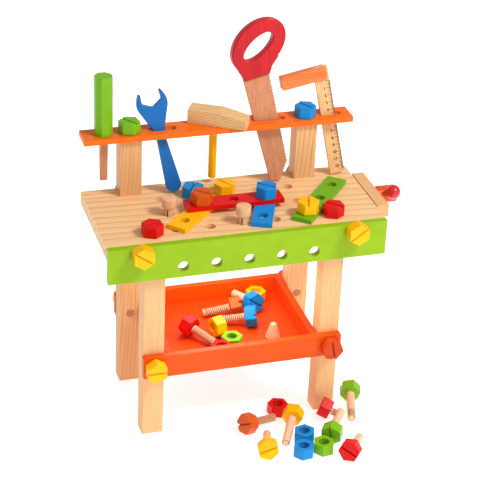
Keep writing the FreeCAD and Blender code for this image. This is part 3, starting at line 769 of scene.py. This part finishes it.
def saw_stain():
    """Red stain with quiet grain, painted highlights on the rounded edges and a painted shadow line, with a
    bump groove, where the handle's two cheeks meet.
    """
    t = Tree("saw_stain")
    away = t.math("ABSOLUTE", t.dot(t.add("TexCoord").outputs["Object"], (0, 0, 1)))
    # Mask of a thin line at mid-thickness round the rim, used as painted shade and as a bump groove.
    seam_groove_shade = t.math("SUBTRACT", 1.0, t.math("MINIMUM", t.math("MULTIPLY", away, 1600.0), 1.0))
    streak = t.noise(t.coords(TURN["y"], (0.06, 1, 1), (1.0, 0, 0)), 240.0, 4.0, 0.6, 0.3)
    fleck = t.noise(t.coords(TURN["y"], (0.10, 1, 1), (0, 1.0, 0)), 700.0, 3.0, 0.7)
    light, dark = srgb(204, 14, 26), srgb(166, 8, 18)
    broad, fine = t.ramp(streak, (0.35, dark), (0.6, light)), t.ramp(fleck, (0.4, dark), (0.56, light))
    color = t.mix(0.35, broad, fine)
    # Painted highlight: the rounded edges are mixed toward a paler pink.
    color = t.mix(t.math("MULTIPLY", t.edge(0.0008), 0.4), color, srgb(232, 60, 70))
    # Painted shade: the rim's mid-thickness line is darkened like the shadow in a groove between two
    # cheeks.
    color = t.mix(t.math("MULTIPLY", seam_groove_shade, 0.75), color, srgb(90, 8, 16))
    height = t.math("SUBTRACT", fleck, seam_groove_shade)
    rough = t.math("ADD", t.math("MULTIPLY", streak, 0.2), 0.26)
    return t.finish(color, rough, height, 0.3, 0.0004, 0.06, 0.25)


slab("saw_handle", saw_stain(), 0.0022)
slab("wrench", paint("wrench_paint", srgb(22, 104, 178), "z", 6.6, 0.5), 0.0011)


# ---------------------------------------------------------------- ruler marks
def ruler_marks():
    """Centimetre scale along the right edge of the try square's rule."""
    centre, axes = main_axes(np.array([v.co for v in NODES["square_rule"].data.vertices]))
    long_axis = Vector(axes[2] if axes[2][2] > 0 else -axes[2])
    across = Vector(axes[1] if axes[1][0] > 0 else -axes[1])
    normal = across.cross(long_axis)
    co = [v.co - Vector(centre) for v in NODES["square_rule"].data.vertices]
    half_w = max(c.dot(across) for c in co)
    half_l = max(c.dot(long_axis) for c in co)
    half_t = max(c.dot(normal) for c in co)
    ink = Tree("ruler_ink")
    speck = ink.noise(ink.coords((0, 0, 0), (1, 1, 1), (0, 0, 0)), 900.0, 2.0, 0.6)
    color = ink.ramp(speck, (0.3, (0.025, 0.018, 0.012, 1)), (0.7, (0.06, 0.04, 0.03, 1)))
    material = ink.finish(color, 0.7, speck, 0.1, 0.0002)
    bm = bmesh.new()
    zero, edge = half_l - 0.0205, half_w - 0.0003
    ink_depth = 0.00008

    def bar(x, y, length, width):
        place = Matrix.Translation((x, y, 0)) @ Matrix.Diagonal((length, width, ink_depth, 1))
        bmesh.ops.create_cube(bm, size=1, matrix=place)

    for k in range(0, 126):
        length = 0.0052 if k % 10 == 0 else 0.0038 if k % 5 == 0 else 0.0022
        bar(edge - length / 2, zero - k * 0.001, length, 0.00036 if k % 5 else 0.00060)
    bar(edge, zero - 0.0625, 0.0007, 0.1255)
    parts = [add_object("ruler_marks", new_mesh("ruler_marks", bm))]
    for k in range(1, 13):
        text = bpy.data.curves.new("digit", "FONT")
        text.body, text.size, text.extrude = str(k), 0.0052, ink_depth / 2
        text.align_x, text.align_y, text.offset = "CENTER", "CENTER", 0.00022
        digit = add_object("digit", text)
        mesh = evaluated_mesh(digit)
        bpy.data.objects.remove(digit)
        mesh.transform(Matrix.Translation((half_w - 0.0087, zero - k * 0.01, 0)))
        parts.append(add_object("ruler_digit" + str(k), mesh))
    place = frame_matrix(across, long_axis, normal, Vector(centre) + normal * (half_t + 0.00005))
    for piece in parts:
        piece.data.materials.clear()
        set_material(piece, material)
        piece.matrix_world = place
        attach(piece, "square")


ruler_marks()


# ---------------------------------------------------------------- stage, light and camera
def floor_material():
    t = Tree("studio_floor")
    cloud = t.noise(t.coords((0, 0, 0), (1, 1, 1), (0, 0, 0)), 3.0, 2.0, 0.5)
    color = t.ramp(cloud, (0.3, (0.90, 0.90, 0.90, 1)), (0.7, (0.93, 0.93, 0.93, 1)))
    t.shader.inputs["Emission Color"].default_value = (1, 1, 1, 1)
    t.shader.inputs["Emission Strength"].default_value = 0.65
    return t.finish(color, 0.9, cloud, 0.02, 0.0002)


def studio_floor():
    bm = bmesh.new()
    bmesh.ops.create_grid(bm, x_segments=1, y_segments=1, size=12)
    floor = add_object("studio_floor", new_mesh("studio_floor", bm))
    floor.location = (0, 0, -0.0006)
    set_material(floor, floor_material())


def studio_world():
    world = bpy.data.worlds.new("studio")
    bpy.context.scene.world = world
    world.use_nodes = True
    world.node_tree.nodes["Background"].inputs[0].default_value = WHITE
    world.node_tree.nodes["Background"].inputs[1].default_value = 0.55


def area_light(name, at, size, power, target=(0, 0, 0.2)):
    data = bpy.data.lights.new(name, "AREA")
    data.energy, data.shape, data.size = power, "DISK", size
    lamp = add_object(name, data)
    lamp.location = at
    lamp.rotation_euler = (Vector(target) - Vector(at)).to_track_quat("-Z", "Y").to_euler()


def studio_camera():
    """Camera at the viewing angle of the finished picture, placed from the bench's origin."""
    data = bpy.data.cameras.new("camera")
    data.sensor_width, data.lens = 36.0, 124.365
    data.clip_end = 50
    camera = add_object("camera", data)
    right = Vector((0.9572, -0.2870, 0.0379)).normalized()
    forward = Vector((0.2692, 0.8340, -0.4816)).normalized()
    up = right.cross(forward).normalized()
    forward = up.cross(right).normalized()
    camera.matrix_world = frame_matrix(right, up, -forward, BENCH + Vector((-0.5630, -1.7004, 1.2596)))
    bpy.context.scene.camera = camera


studio_floor()
studio_world()
area_light("key", (1.0, -0.9, 2.0), 0.6, 35.0)
area_light("fill", (0.8, -2.1, 0.8), 1.2, 6.0)
under = (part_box("tray_bottom")[0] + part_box("tray_bottom")[1]) / 2
area_light("tray_light", (under.x, under.y, 0.222), 0.16, 0.36, target=(under.x, under.y + 0.001, 0.1))
studio_camera()
bpy.context.scene.view_settings.view_transform = "Standard"
